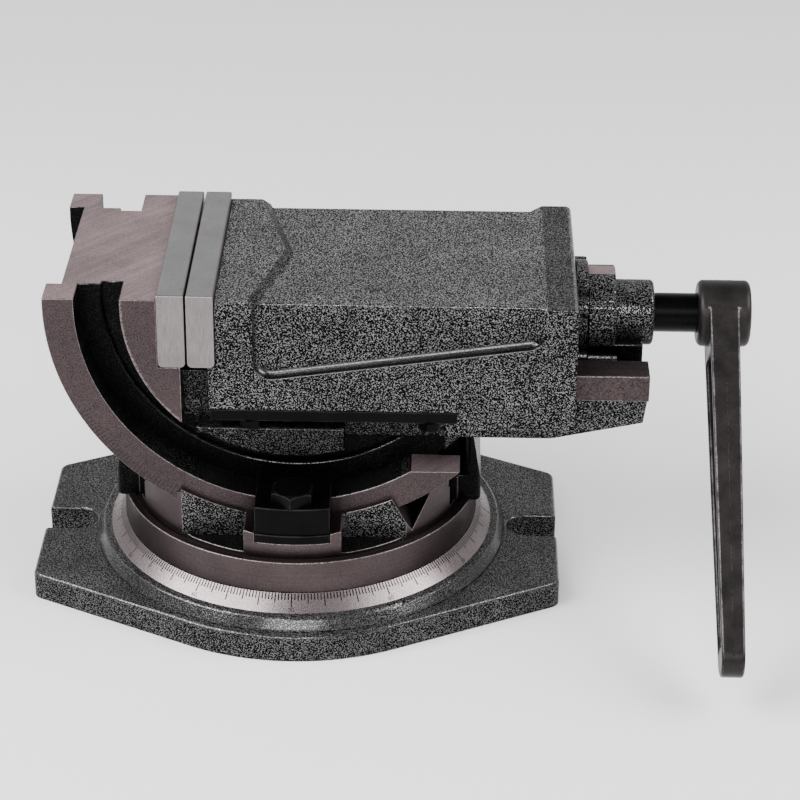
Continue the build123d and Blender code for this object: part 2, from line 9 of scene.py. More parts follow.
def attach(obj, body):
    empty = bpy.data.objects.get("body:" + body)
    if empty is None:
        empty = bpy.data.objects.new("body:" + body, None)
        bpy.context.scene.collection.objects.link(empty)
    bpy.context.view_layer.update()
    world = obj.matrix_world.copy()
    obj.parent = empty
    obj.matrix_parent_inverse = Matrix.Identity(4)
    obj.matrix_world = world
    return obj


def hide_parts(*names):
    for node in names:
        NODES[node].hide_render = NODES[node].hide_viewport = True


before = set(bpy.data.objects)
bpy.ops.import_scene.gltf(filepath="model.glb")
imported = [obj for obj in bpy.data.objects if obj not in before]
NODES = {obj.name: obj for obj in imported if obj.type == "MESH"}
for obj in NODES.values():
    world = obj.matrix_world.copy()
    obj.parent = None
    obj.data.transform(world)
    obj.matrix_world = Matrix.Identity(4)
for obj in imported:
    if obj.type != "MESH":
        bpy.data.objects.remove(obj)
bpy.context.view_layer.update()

MM = 0.001

# ---- sizes shared with the CAD model, in millimetres -----------------------
# base and turntable
CONE_LOW = (80.0, 16.7)     # graduated cone: radius and height of its foot
CONE_TOP = (73.8, 22.3)
TABLE_FOOT_Z = 23.0         # facets that reach below this belong to the turntable's foot
SKIRT_IN_R = 66.3           # the skirt and its ledge lie outside this radius
LEDGE_Z = 36.1              # top of the skirt
DRUM_R = 69.0               # upright drum on the skirt
POCKET_Y = 52.3             # painted back walls of the two pockets
HORN_END_X = 69.3           # the horns' painted ends lie further out than this
CHEEK_R = 91.5              # the cheeks' tops, from the tilt axis

# vise body
TILT_Z = 136.2              # height of the tilt axis, along Y
RIM_OUTER = 97.0            # rocker rim, from the tilt axis
RIM_IN_Y = 36.0             # inner sides of the two rims
RIM_END_Z = 65.5            # flat ends of the rims
JAW_SECTOR = 67.0           # machined front of the fixed jaw, from the tilt axis
BODY_HALF = 50.0
JAW_TOP_Z = 139.7
JAW_SEAT_X = -44.0          # upright cross faces left of this are machined
JAW_SEAT_Z = 90.0           # where they stand above this
CHANNEL_END_X = 45.0        # the channels' black floors end here
WELL_END_X = 40.0           # right end of the black between the rims: black paint deepened by painted shade
RAIL_HALF = 42.0
RAIL_IN = 28.0
RAIL_FOOT_Z = 94.3
RAIL_TOP_Z = 105.5
PAINT_END_X = -33.5         # left of this the rails' flanks are painted
OPEN_X = 60.0               # right of this the bed's paint is out of the rocker's shade

# movable jaw and thrust housing
PAD_FOOT_Z = 136.0          # the raised pad starts just above this
PANEL_Y = 45.2              # the flank panels are set in to this
PANEL_TOP_Z = 122.0         # and their ledges rise to just below this
END_TOP_X = 98.5            # left end of the end block
HOUSING_FLAT_Z = 131.9      # milled flat on the thrust housing
HOUSING_FOOT_Z = 107.0      # top of its square foot

# screw and crank
SCREW_Z = 113.3             # height of the screw's axis, along X
THREAD_R = 9.0
THREAD_X = (-14.0, 110.8)
JOURNAL_R = 8.0
HUB_X1 = 182.5              # outer face of the crank's hub
CRANK_X = 171.4             # middle of the crank's arm
CRANK_LENGTH = 146.2        # from the hub to the centre of its round tip
CRANK_HALF = (13.2, 8.0)    # half the arm's width at the hub and at the tip
CRANK_DROP = 52.0           # degrees the arm leans from straight down

# ---- sizes of the detail added here, in millimetres ------------------------
TOUCH = 0.1                 # how near a flat facet is to the place that names it
NEAR = 0.3                  # the same for a facet of a round face
RING_DEPTH = 0.5            # thickness of the graduated ring
GROOVE_HALF = 0.23          # half the width of an engraved line, and its depth
CONE_TICKS = (5.6, 4.1, 2.9)    # lengths of the lines at tens, at fives, between
RIM_TICKS = (5.8, 4.8, 4.0)
INDEX_TURN = 239.1          # where the turntable's index nick meets the rim, from +X
DIGIT_HEIGHTS = (1.9, 1.7)  # on the cone and on the rims
CAPITAL = 0.72              # height of a digit in a font of size 1
PITCH = 4.0                 # of the screw's trapezoidal thread
ROUND = 48                  # sides of the screw's plain journal

# ---- levels of the looks ---------------------------------------------------
WORLD_LEVEL = 0.85
WORMS = 1900                # how fine the enamel's pattern is, per metre
BASE_WORMS = 2100
PINK = 0.2                  # warmth of the machined iron


# ---- camera ----------------------------------------------------------------
def make_camera():
    """A long lens, a little right of the front, looking 28 degrees down."""
    yaw, pitch, roll = radians(0.92), radians(28.39), radians(0.50)
    target, distance = Vector((0.0413, 0, 0.0708)), 1.1142
    forward = Vector((-sin(yaw) * cos(pitch), cos(yaw) * cos(pitch), -sin(pitch)))
    right = Vector((cos(yaw), sin(yaw), 0))
    up = right.cross(forward)
    right, up = cos(roll) * right + sin(roll) * up, cos(roll) * up - sin(roll) * right
    data = bpy.data.cameras.new("camera")
    data.sensor_width = 36
    data.lens = 121.1
    camera = bpy.data.objects.new("camera", data)
    bpy.context.scene.collection.objects.link(camera)
    place = Matrix((right, up, -forward)).transposed().to_4x4()
    place.translation = target - forward * distance
    camera.matrix_world = place
    bpy.context.scene.camera = camera


# ---- light and floor ---------------------------------------------------------
def softbox(name, azimuth, elevation, size, radiance):
    """A large diffuse light; azimuth 0 is in front of the vise, 90 on its right."""
    target, distance = Vector((0.03, 0, 0.08)), 1.3
    turn, lift = radians(azimuth), radians(elevation)
    away = Vector((sin(turn) * cos(lift), -cos(turn) * cos(lift), sin(lift)))
    data = bpy.data.lights.new(name, "AREA")
    data.shape = "RECTANGLE"
    data.size, data.size_y = size
    data.energy = radiance * pi * size[0] * size[1]
    lamp = bpy.data.objects.new(name, data)
    bpy.context.scene.collection.objects.link(lamp)
    lamp.location = target + away * distance
    lamp.rotation_euler = away.to_track_quat("Z", "Y").to_euler()


def make_studio():
    """A sky that darkens overhead, three softboxes and a pale floor."""
    world = bpy.data.worlds.new("studio")
    bpy.context.scene.world = world
    world.use_nodes = True
    tree = world.node_tree
    direction = node(tree, "ShaderNodeTexCoord").outputs["Generated"]
    height = node(tree, "ShaderNodeSeparateXYZ", {0: direction}).outputs[2]
    sky = ramp(tree, height, (0.45, WORLD_LEVEL), (0.85, WORLD_LEVEL * 0.25))
    tree.links.new(sky, tree.nodes["Background"].inputs["Color"])
    softbox("left_softbox", -66, 46, (1.0, 0.8), 12.0)
    softbox("right_softbox", 80, 40, (0.9, 0.7), 10.0)
    softbox("front_softbox", -4, 34, (0.6, 0.5), 9.0)
    bpy.ops.mesh.primitive_plane_add(size=8, location=(0, 0, 0))
    floor = bpy.context.object
    floor.name = "floor"
    floor.data.materials.append(floor_material())


def floor_material():
    """Matt white paper with a barely visible tooth."""
    material, tree, shader = new_material("floor_paper")
    tooth = noise(tree, place_of(tree), 900, detail=2.0)
    tree.links.new(ramp(tree, tooth, (0.3, 0.87), (0.7, 0.89)), shader.inputs["Base Color"])
    shader.inputs["Roughness"].default_value = 0.95
    shader.inputs["Specular IOR Level"].default_value = 0.1
    return material


# ---- material building blocks ------------------------------------------------
def new_material(name):
    material = bpy.data.materials.new(name)
    material.use_nodes = True
    tree = material.node_tree
    return material, tree, tree.nodes["Principled BSDF"]


def node(tree, kind, inputs=None, **settings):
    """A node with its settings, and its inputs linked or set by name or number."""
    made = tree.nodes.new(kind)
    for key, value in settings.items():
        setattr(made, key, value)
    for key, value in (inputs or {}).items():
        if isinstance(value, bpy.types.NodeSocket):
            tree.links.new(value, made.inputs[key])
        else:
            made.inputs[key].default_value = value
    return made


def place_of(tree, stretch=(1, 1, 1), turn=(0, 0, 0)):
    """The piece's own coordinates, for a grain that is stretched and then turned."""
    coords = node(tree, "ShaderNodeTexCoord")
    mapping = node(tree, "ShaderNodeMapping", {"Vector": coords.outputs["Object"],
                                               "Scale": stretch, "Rotation": turn},
                   vector_type="TEXTURE")
    return mapping.outputs["Vector"]


def noise(tree, vector, scale, detail=2.0, roughness=0.5, distortion=0.0):
    made = node(tree, "ShaderNodeTexNoise", {"Vector": vector, "Scale": scale, "Detail": detail,
                                             "Roughness": roughness, "Distortion": distortion})
    return made.outputs["Fac"]


def ramp(tree, factor, *stops):
    """A colour ramp; each stop is (position, grey) or (position, (r, g, b))."""
    made = node(tree, "ShaderNodeValToRGB", {"Fac": factor})
    points = made.color_ramp.elements
    while len(points) < len(stops):
        points.new(0.5)
    for point, (position, colour) in zip(points, stops):
        point.position = position
        colour = colour if isinstance(colour, tuple) else (colour,) * 3
        point.color = (*colour, 1)
    return made.outputs["Color"]


def mix(tree, factor, a, b, blend="MIX"):
    made = node(tree, "ShaderNodeMix", data_type="RGBA", blend_type=blend)
    for index, value in ((0, factor), (6, a), (7, b)):
        if isinstance(value, bpy.types.NodeSocket):
            tree.links.new(value, made.inputs[index])
        elif index == 0:
            made.inputs[0].default_value = value
        else:
            made.inputs[index].default_value = (*value, 1)
    return made.outputs[2]


def maths(tree, operation, a, b=0.0):
    return node(tree, "ShaderNodeMath", {0: a, 1: b}, operation=operation).outputs[0]


def bump(tree, shader, height, strength, distance):
    """Raises the surface by the height field; distance is in millimetres."""
    made = node(tree, "ShaderNodeBump", {"Height": height, "Strength": strength,
                                         "Distance": distance * MM})
    tree.links.new(made.outputs["Normal"], shader.inputs["Normal"])


def spread(tone, darker, lighter):
    """A darker and a lighter version of a colour, for the two ends of a mix."""
    return tuple(c * darker for c in tone), tuple(c * lighter for c in tone)


# ---- materials -----------------------------------------------------------------
def upwardness(tree):
    """The Z of the piece's own surface normal."""
    coords = node(tree, "ShaderNodeTexCoord")
    return node(tree, "ShaderNodeSeparateXYZ", {0: coords.outputs["Normal"]}).outputs[2]


def facing_up(tree):
    """1 where the piece's own surface faces up, 0 on its flanks."""
    made = node(tree, "ShaderNodeMapRange", {"Value": upwardness(tree), "From Min": 0.55,
                                             "From Max": 0.92}, interpolation_type="SMOOTHSTEP")
    return made.outputs[0]


def rounded_slope(tree):
    """1 on rounded edges between a flank and a top, 0 on flanks and on tops."""
    return ramp(tree, upwardness(tree), (0.10, 0.0), (0.32, 1.0), (0.84, 1.0), (0.96, 0.0))


def hammertone(name, scale, flank, top, top_gloss, edge_gloss=0.7):
    """Dark enamel full of thin silver worms; its rounded edges shine.
    flank and top are each (ground, fleck) greys: the enamel's and the worms'. Where the tops
    get lighter greys than the flanks, that is painted light from above; where darker, painted
    shade."""
    material, tree, shader = new_material(name)
    place = place_of(tree, turn=(0.5, 0.7, 0.3))
    field = noise(tree, place, scale, detail=0.0, distortion=0.15)
    speckle = ramp(tree, field, (0.53, 0.0), (0.60, 1.0))
    broad = noise(tree, place, 55, detail=3.0)
    up = facing_up(tree)
    # tops and flanks take their own greys: painted light from above
    ground = mix(tree, up, (flank[0],) * 3, (top[0],) * 3)
    fleck = mix(tree, up, (flank[1],) * 3, (top[1],) * 3)
    colour = mix(tree, speckle, ground, fleck)
    shade = ramp(tree, broad, (0.28, 0.78), (0.72, 1.2))
    tree.links.new(mix(tree, 1.0, colour, shade, "MULTIPLY"), shader.inputs["Base Color"])
    tree.links.new(maths(tree, "MULTIPLY", speckle, 0.8), shader.inputs["Metallic"])
    slope = rounded_slope(tree)
    gloss = maths(tree, "ADD", maths(tree, "MULTIPLY", up, top_gloss),
                  maths(tree, "MULTIPLY", slope, edge_gloss))
    tree.links.new(maths(tree, "ADD", gloss, 0.04), shader.inputs["Specular IOR Level"])
    rough = node(tree, "ShaderNodeMapRange", {"Value": slope, "To Min": 0.38, "To Max": 0.2})
    tree.links.new(rough.outputs[0], shader.inputs["Roughness"])
    bump(tree, shader, speckle, 0.8, 0.16)
    return material


def machined(name, tone, streak=(1, 1, 1), roughness=0.42, grain=1.0, contrast=0.22, turn=0.0):
    """Grey iron off a mill or lathe: fine pores and faint tool streaks."""
    material, tree, shader = new_material(name)
    place = place_of(tree)
    pores = noise(tree, place, 1700, detail=2.0)
    clouds = noise(tree, place, 38, detail=4.0)
    lines = noise(tree, place_of(tree, streak, (0, 0, turn)), 420, detail=2.0)
    colour = mix(tree, ramp(tree, pores, (0.32, 0.0), (0.68, 1.0)),
                 *spread(tone, 1 - contrast, 1 + contrast))
    shade = ramp(tree, clouds, (0.30, 0.82), (0.70, 1.15))
    colour = mix(tree, 1.0, colour, shade, "MULTIPLY")
    colour = mix(tree, 1.0, colour, ramp(tree, lines, (0.30, 0.84), (0.70, 1.12)), "MULTIPLY")
    tree.links.new(colour, shader.inputs["Base Color"])
    shader.inputs["Metallic"].default_value = 0.85
    rough = node(tree, "ShaderNodeMapRange", {"Value": clouds, "From Min": 0.3, "From Max": 0.7,
                                              "To Min": roughness - 0.05,
                                              "To Max": roughness + 0.08})
    tree.links.new(rough.outputs[0], shader.inputs["Roughness"])
    shader.inputs["Specular IOR Level"].default_value = 0.2
    height = maths(tree, "ADD", maths(tree, "MULTIPLY", pores, grain), lines)
    bump(tree, shader, height, 0.25, 0.04)
    return material


def rubbed_sector(name, tone):
    """Machined iron with a rough, rubbed band along the fixed jaw's round edge."""
    material = machined(name, tone, (1, 1, 1), 0.45, 1.6, 0.45)
    tree = material.node_tree
    colour = tree.nodes["Principled BSDF"].inputs["Base Color"]
    coords = node(tree, "ShaderNodeTexCoord").outputs["Object"]
    split = node(tree, "ShaderNodeSeparateXYZ", {0: coords})
    across = maths(tree, "POWER", split.outputs[0], 2.0)
    drop = maths(tree, "POWER", maths(tree, "SUBTRACT", split.outputs[2], TILT_Z * MM), 2.0)
    radius = maths(tree, "SQRT", maths(tree, "ADD", across, drop))
    ragged = noise(tree, coords, 900, detail=3.0, roughness=0.7)
    ragged = maths(tree, "MULTIPLY", ragged, 4 * MM)
    band = node(tree, "ShaderNodeMapRange", {"Value": maths(tree, "ADD", radius, ragged),
                                             "From Min": (JAW_SECTOR + 0.9) * MM,
                                             "From Max": (JAW_SECTOR + 2.0) * MM})
    bright = mix(tree, band.outputs[0], (0, 0, 0), tint(0.16, 0.12))
    tree.links.new(mix(tree, 1.0, colour.links[0].from_socket, bright, "ADD"), colour)
    return material


def turned(name, tone, roughness=0.3):
    """Iron turned about Z: rings of fine tool marks and a stretched highlight."""
    material, tree, shader = new_material(name)
    coords = node(tree, "ShaderNodeTexCoord")
    split = node(tree, "ShaderNodeSeparateXYZ", {0: coords.outputs["Object"]})
    flat = maths(tree, "ADD", maths(tree, "POWER", split.outputs[0], 2.0),
                 maths(tree, "POWER", split.outputs[1], 2.0))
    radius = maths(tree, "SQRT", flat)
    rings = node(tree, "ShaderNodeCombineXYZ", {0: radius, 2: split.outputs[2]})
    marks = noise(tree, rings.outputs[0], 5200, detail=2.0)
    pores = noise(tree, coords.outputs["Object"], 1500, detail=2.0)
    clouds = noise(tree, coords.outputs["Object"], 50, detail=3.0)
    colour = mix(tree, ramp(tree, marks, (0.3, 0.0), (0.7, 1.0)),
                 *spread(tone, 0.8, 1.15))
    colour = mix(tree, 1.0, colour, ramp(tree, clouds, (0.3, 0.82), (0.7, 1.15)), "MULTIPLY")
    colour = mix(tree, 1.0, colour, ramp(tree, pores, (0.3, 0.75), (0.6, 1.08)), "MULTIPLY")
    tree.links.new(colour, shader.inputs["Base Color"])
    shader.inputs["Metallic"].default_value = 0.95
    shader.inputs["Roughness"].default_value = roughness
    shader.inputs["Anisotropic"].default_value = 0.6
    tangent = node(tree, "ShaderNodeTangent", direction_type="RADIAL", axis="Z")
    tree.links.new(tangent.outputs[0], shader.inputs["Tangent"])
    bump(tree, shader, maths(tree, "ADD", marks, pores), 0.2, 0.02)
    return material


def ground_steel(name, tone):
    """Ground plate steel: short fine scratches, stains and a soft sheen."""
    material, tree, shader = new_material(name)
    scratches = noise(tree, place_of(tree, (1, 1, 16)), 2600, detail=2.0)
    crossing = noise(tree, place_of(tree, (1, 14, 1), (0, 0, 0.4)), 2300, detail=1.0)
    clouds = noise(tree, place_of(tree), 90, detail=4.0)
    stains = noise(tree, place_of(tree), 420, detail=3.0, roughness=0.7)
    scuffs = noise(tree, place_of(tree, (1, 1, 0.5), (0.3, 0.8, 0.2)), 260, detail=5.0,
                   roughness=0.75, distortion=1.4)
    colour = mix(tree, ramp(tree, scratches, (0.3, 0.0), (0.7, 1.0)),
                 *spread(tone, 0.78, 1.14))
    scuffed = ramp(tree, scuffs, (0.485, 1.0), (0.50, 0.62), (0.515, 1.0))
    wear = ramp(tree, clouds, (0.45, 0.0), (0.62, 1.0))
    colour = mix(tree, wear, colour, mix(tree, 1.0, colour, scuffed, "MULTIPLY"))
    colour = mix(tree, 1.0, colour, ramp(tree, clouds, (0.3, 0.88), (0.7, 1.08)), "MULTIPLY")
    colour = mix(tree, 1.0, colour, ramp(tree, stains, (0.26, 0.66), (0.40, 1.0)), "MULTIPLY")
    tree.links.new(colour, shader.inputs["Base Color"])
    shader.inputs["Metallic"].default_value = 0.9
    shader.inputs["Roughness"].default_value = 0.38
    shader.inputs["Specular IOR Level"].default_value = 0.2
    bump(tree, shader, maths(tree, "ADD", scratches, crossing), 0.18, 0.02)
    return material


def dark_metal(name, tone, roughness, metallic=0.6, grain=0.3, mottle=0.25, gloss=0.2):
    """Black oxide, phosphate and similar thin dark finishes on steel."""
    material, tree, shader = new_material(name)
    place = place_of(tree)
    fine = noise(tree, place, 2400, detail=2.0)
    clouds = noise(tree, place, 120, detail=4.0, roughness=0.6)
    colour = mix(tree, ramp(tree, fine, (0.35, 0.0), (0.7, 1.0)),
                 *spread(tone, 1 - mottle, 1 + mottle))
    colour = mix(tree, 1.0, colour, ramp(tree, clouds, (0.3, 1 - mottle), (0.7, 1 + mottle)),
                 "MULTIPLY")
    tree.links.new(colour, shader.inputs["Base Color"])
    shader.inputs["Metallic"].default_value = metallic
    rough = node(tree, "ShaderNodeMapRange", {"Value": clouds, "From Min": 0.3, "From Max": 0.7,
                                              "To Min": roughness * 0.85,
                                              "To Max": roughness * 1.2})
    tree.links.new(rough.outputs[0], shader.inputs["Roughness"])
    shader.inputs["Specular IOR Level"].default_value = gloss
    bump(tree, shader, fine, grain, 0.03)
    return material


def tint(level, warmth=0.10):
    """A slightly pink grey of the given level."""
    return (level * (1 + warmth), level * (1 - warmth / 2), level * (1 - warmth / 3))


def make_materials():
    """Every finish by its short name."""
    black = (0.003, 0.0026, 0.0027)
    plain = (1, 1, 1)
    return {
        # enamels: pattern, greys of the flanks, greys of the tops (their difference is painted
        # light from above), gloss of tops and edges
        "hammer": hammertone("hammertone_enamel", WORMS, (0.0006, 0.145), (0.0006, 0.27),
                             0.03, 0.4),
        "hammer_round": hammertone("hammertone_sleeve", WORMS, (0.0003, 0.13), (0.0008, 0.17),
                                   0.03, 0.05),
        # darker enamel for the pad's slopes and the end block's top: painted shade
        "hammer_dim": hammertone("hammertone_painted_shade", WORMS, (0.0003, 0.06), (0.0006, 0.13),
                                 0.02, 0.0),
        # the ledges' dark greys are painted shade under the panel walls; their glint is real
        # gloss
        "ledge": hammertone("hammertone_ledge_painted_shade", WORMS, (0.0003, 0.05), (0.0006, 0.03),
                            0.02, 1.0),
        "hammer_calm": hammertone("hammertone_base", BASE_WORMS, (0.001, 0.125), (0.002, 0.17),
                                  0.10, 0.35),
        "hammer_shade": hammertone("hammertone_in_shade", WORMS, (0.0003, 0.06), (0.0006, 0.08),
                                   0.03, 0.1),
        # black paint, also laid on hollows, pocket floors and undersides as painted shade
        "cast_black": hammertone("black_paint_and_painted_shade", WORMS, (0.0004, 0.010), (0.0010, 0.014),
                                 0.03),
        # iron off the mill: colour, streaks, roughness, grain, contrast
        "milled": machined("milled_iron", tint(0.25, PINK), (14, 1, 1), turn=0.85),
        "faced": machined("faced_iron", tint(0.042, PINK), plain, 0.45, 1.6, 0.5),
        "sector": rubbed_sector("rubbed_iron", tint(0.042, PINK)),
        "rail": machined("bed_rail_iron", tint(0.05, PINK), (8, 1, 1), 0.36, 1.0, 0.4),
        "groove": machined("engraved_groove", tint(0.012, 0.1), plain, 0.5),
        # lighter strips on rounded edges: part wear, part painted highlight
        "edge": machined("worn_edge_and_painted_highlight", tint(0.12, 0.12), plain, 0.4, 1.5, 0.8),
        "bare": machined("bare_steel_turned", (0.3, 0.3, 0.3), plain, 0.3),
        "bronze": machined("cast_bronze", (0.30, 0.17, 0.06), plain, 0.35),
        # iron off the lathe: colour, roughness
        "turned": turned("turned_iron", tint(0.052, PINK), 0.38),
        "drum": turned("drum_face_iron", tint(0.055, PINK), 0.42),
        "cone": turned("turned_cone", tint(0.17, 0.12), 0.26),
        # the jaw plates
        "ground": ground_steel("ground_steel_top", (0.29, 0.285, 0.285)),
        "ground_side": ground_steel("ground_steel_side", tint(0.18, 0.08)),
        # thin dark finishes: colour, roughness, metal, grain, mottle, gloss
        "oxide": dark_metal("black_oxide_steel", black, 0.36, 0.7, 0.25, 0.25, 0.1),
        # lighter oxide on rounded edges: part wear, part painted highlight
        "oxide_edge": dark_metal("worn_oxide_and_painted_highlight", tint(0.014, 0.1), 0.4, 0.8, 0.3, 0.6),
        "gloss": dark_metal("polished_black_screw", (0.003, 0.003, 0.003), 0.28, 0.7, 0.06,
                            0.2, 0.1),
        "phosphate": dark_metal("phosphated_forging", tint(0.022, 0.1), 0.40, 0.75, 0.35, 0.2),
        # lighter phosphate on the crank's rounded edges and seam: part wear, part painted
        # highlight
        "phosphate_edge": dark_metal("worn_phosphate_and_painted_highlight", tint(0.045, 0.05), 0.36, 0.85, 0.5, 0.9),
        "engraving": dark_metal("engraved_lines", (0.006, 0.0055, 0.0055), 0.6, 0.0, 0.1),
    }


PAINTED = ("hammer", "hammer_round", "hammer_dim", "ledge", "hammer_calm", "hammer_shade",
           "cast_black")

# CAD nodes that stay as they are, with their finish
KEPT = {
    "pivot_pin": "bare", "swivel_t_bolts": "oxide", "swivel_washers": "oxide",
    "left_swivel_nut": "oxide", "right_swivel_nut": "oxide", "fixed_jaw_screws": "oxide",
    "screw_nut": "bronze", "screw_nut_bolts": "oxide", "movable_jaw_screws": "oxide",
    "front_keeper_bolts": "oxide", "rear_keeper_bolts": "oxide",
    "thrust_housing_screws": "oxide", "inner_thrust_washer": "bronze",
    "outer_thrust_washer": "bronze", "thrust_collar": "bare", "collar_pin": "bare",
    "crank_pin": "bare",
}


# ---- meshes from CAD nodes ---------------------------------------------------
class Patch:
    """One facet of a casting: its corners, middle and extents in millimetres, and its
    normal. left and right are along X, inner and outer are distances from the middle
    plane Y = 0, bottom and top are heights."""

    def __init__(self, mesh, face):
        self.corners = [mesh.vertices[index].co / MM for index in face.vertices]
        self.middle = sum(self.corners, Vector()) / len(self.corners)
        self.normal = face.normal
        self.left, self.right = self.span(lambda p: p.x)
        self.inner, self.outer = self.span(lambda p: abs(p.y))
        self.bottom, self.top = self.span(lambda p: p.z)

    def span(self, measure):
        """Lowest and highest value of a measure at the corners."""
        values = [measure(corner) for corner in self.corners]
        return min(values), max(values)


def from_tilt(place):
    """Distance from the tilt axis."""
    return sqrt(place.x ** 2 + (place.z - TILT_Z) ** 2)


def from_middle(place):
    """Distance from the swivel axis."""
    return sqrt(place.x ** 2 + place.y ** 2)


def clean_copy(cad_name, name, cuts=()):
    """The CAD node's mesh, joined at its seams, with flat faces merged into one.
    cuts are planes (point, normal) that split faces where their finish changes."""
    mesh = NODES[cad_name].data.copy()
    mesh.name = name
    mesh.materials.clear()
    if "custom_normal" in mesh.attributes:
        mesh.attributes.remove(mesh.attributes["custom_normal"])
    shape = bmesh.new()
    shape.from_mesh(mesh)
    bmesh.ops.remove_doubles(shape, verts=shape.verts, dist=0.002 * MM)
    bmesh.ops.dissolve_limit(shape, angle_limit=radians(0.4), verts=shape.verts,
                             edges=shape.edges, use_dissolve_boundaries=False)
    for point, normal in cuts:
        everything = shape.verts[:] + shape.edges[:] + shape.faces[:]
        bmesh.ops.bisect_plane(shape, geom=everything, plane_co=Vector(point) * MM,
                               plane_no=Vector(normal), dist=0.001 * MM)
    for face in shape.faces:
        face.smooth = True
    shape.to_mesh(mesh)
    shape.free()
    piece = bpy.data.objects.new(name, mesh)
    bpy.context.scene.collection.objects.link(piece)
    return piece


def round_edges(piece, widths, segments, edge=None):
    """Bevels convex edges; widths maps a material index to a width in millimetres.
    An edge takes the smaller width of its two faces. edge, if given, is the material
    index of the rounded strips."""
    sharp, shading_break = radians(28), radians(50)
    mesh = piece.data
    widest = max(widths.values())
    shape = bmesh.new()
    shape.from_mesh(mesh)
    weights = []
    for line in shape.edges:
        weight = 0.0
        if len(line.link_faces) == 2 and line.calc_face_angle_signed(0) > sharp:
            weight = min(widths[face.material_index] for face in line.link_faces) / widest
        weights.append(weight)
    shape.free()
    layer = mesh.attributes.new("bevel_weight_edge", "FLOAT", "EDGE")
    layer.data.foreach_set("value", weights)
    mesh.set_sharp_from_angle(angle=shading_break)
    bevel = piece.modifiers.new("rounded_edges", "BEVEL")
    bevel.limit_method = "WEIGHT"
    bevel.width = widest * MM
    bevel.segments = segments
    bevel.use_clamp_overlap = False
    if edge is not None:
        bevel.material = edge
    scene_graph = bpy.context.evaluated_depsgraph_get()
    piece.data = bpy.data.meshes.new_from_object(piece.evaluated_get(scene_graph))
    piece.modifiers.remove(bevel)
    bpy.data.meshes.remove(mesh)
    flatten = piece.modifiers.new("flat_faces_stay_flat", "WEIGHTED_NORMAL")
    flatten.keep_sharp = True


def paint_edges(piece, edge, painted):
    """Where a rounded edge touches paint, its strip is painted too."""
    mesh = piece.data
    shape = bmesh.new()
    shape.from_mesh(mesh)
    strips = [face for face in shape.faces if face.material_index == edge]
    for strip in strips:
        beside = {other.material_index for side in strip.edges for other in side.link_faces}
        paint = sorted(beside & painted)
        if paint:
            mesh.polygons[strip.index].material_index = paint[0]
    shape.free()


def casting(cad_name, body, widths, choose, segments=2, cuts=(), edge=None):
    """A detailed copy of a CAD node whose faces get their own finish by place.
    widths gives each finish the width of its rounded edges, in millimetres; edge is the finish
    of the rounded edges themselves, a lighter one: worn metal and a painted highlight."""
    piece = clean_copy(cad_name, cad_name + "_piece", cuts)
    finishes = list(widths)
    for finish in finishes:
        piece.data.materials.append(MATERIALS[finish])
    for face in piece.data.polygons:
        face.material_index = finishes.index(choose(Patch(piece.data, face)))
    bevel_widths = {finishes.index(name): width for name, width in widths.items()}
    if edge:
        piece.data.materials.append(MATERIALS[edge])
        round_edges(piece, bevel_widths, segments, len(finishes))
        painted = {finishes.index(name) for name in finishes if name in PAINTED}
        paint_edges(piece, len(finishes), painted)
    else:
        round_edges(piece, bevel_widths, segments)
    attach(piece, body)
    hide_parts(cad_name)
    return piece


def new_piece(name, shape, body, finish, smooth=True):
    """Makes an object of a bmesh that is in millimetres."""
    bmesh.ops.scale(shape, vec=(MM, MM, MM), verts=shape.verts)
    bmesh.ops.recalc_face_normals(shape, faces=shape.faces)
    mesh = bpy.data.meshes.new(name)
    shape.to_mesh(mesh)
    shape.free()
    for face in mesh.polygons:
        face.use_smooth = smooth
    mesh.set_sharp_from_angle(angle=radians(20))
    mesh.materials.append(MATERIALS[finish])
    piece = bpy.data.objects.new(name, mesh)
    bpy.context.scene.collection.objects.link(piece)
    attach(piece, body)
    return piece


# ---- which finish a casting's facet has -------------------------------------------
def is_cone(patch):
    low, high = patch.span(from_middle)
    return (low > CONE_TOP[0] - NEAR and high < CONE_LOW[0] + NEAR
            and patch.bottom > CONE_LOW[1] - NEAR and patch.top - patch.bottom > 1)


def base_finish(patch):
    if is_cone(patch):
        return "cone"
    under_table = patch.span(from_middle)[1] < CONE_TOP[0] + NEAR
    return "faced" if under_table or patch.middle.z < TOUCH else "hammer_calm"


def table_finish(patch):
    low, high = patch.span(from_middle)
    near, far = patch.span(from_tilt)
    in_pocket = abs(abs(patch.middle.y) - POCKET_Y) < TOUCH
    outwards = patch.span(lambda p: abs(p.x))[0]
    if in_pocket or outwards > HORN_END_X and patch.bottom > LEDGE_Z - TOUCH:
        return "hammer"
    if low > SKIRT_IN_R and patch.top < LEDGE_Z + TOUCH:
        return "turned"
    if abs(patch.normal.z) < 0.3 and abs(low - DRUM_R) < NEAR and abs(high - DRUM_R) < NEAR:
        return "drum"
    seat = near > RIM_OUTER - 0.5 and far < RIM_OUTER + 0.5
    cheek_top = abs(near - CHEEK_R) < NEAR
    # the rest, pocket floors and hollows, gets the black: partly paint, partly painted shade
    return "turned" if seat or cheek_top or patch.bottom < TABLE_FOOT_Z else "cast_black"


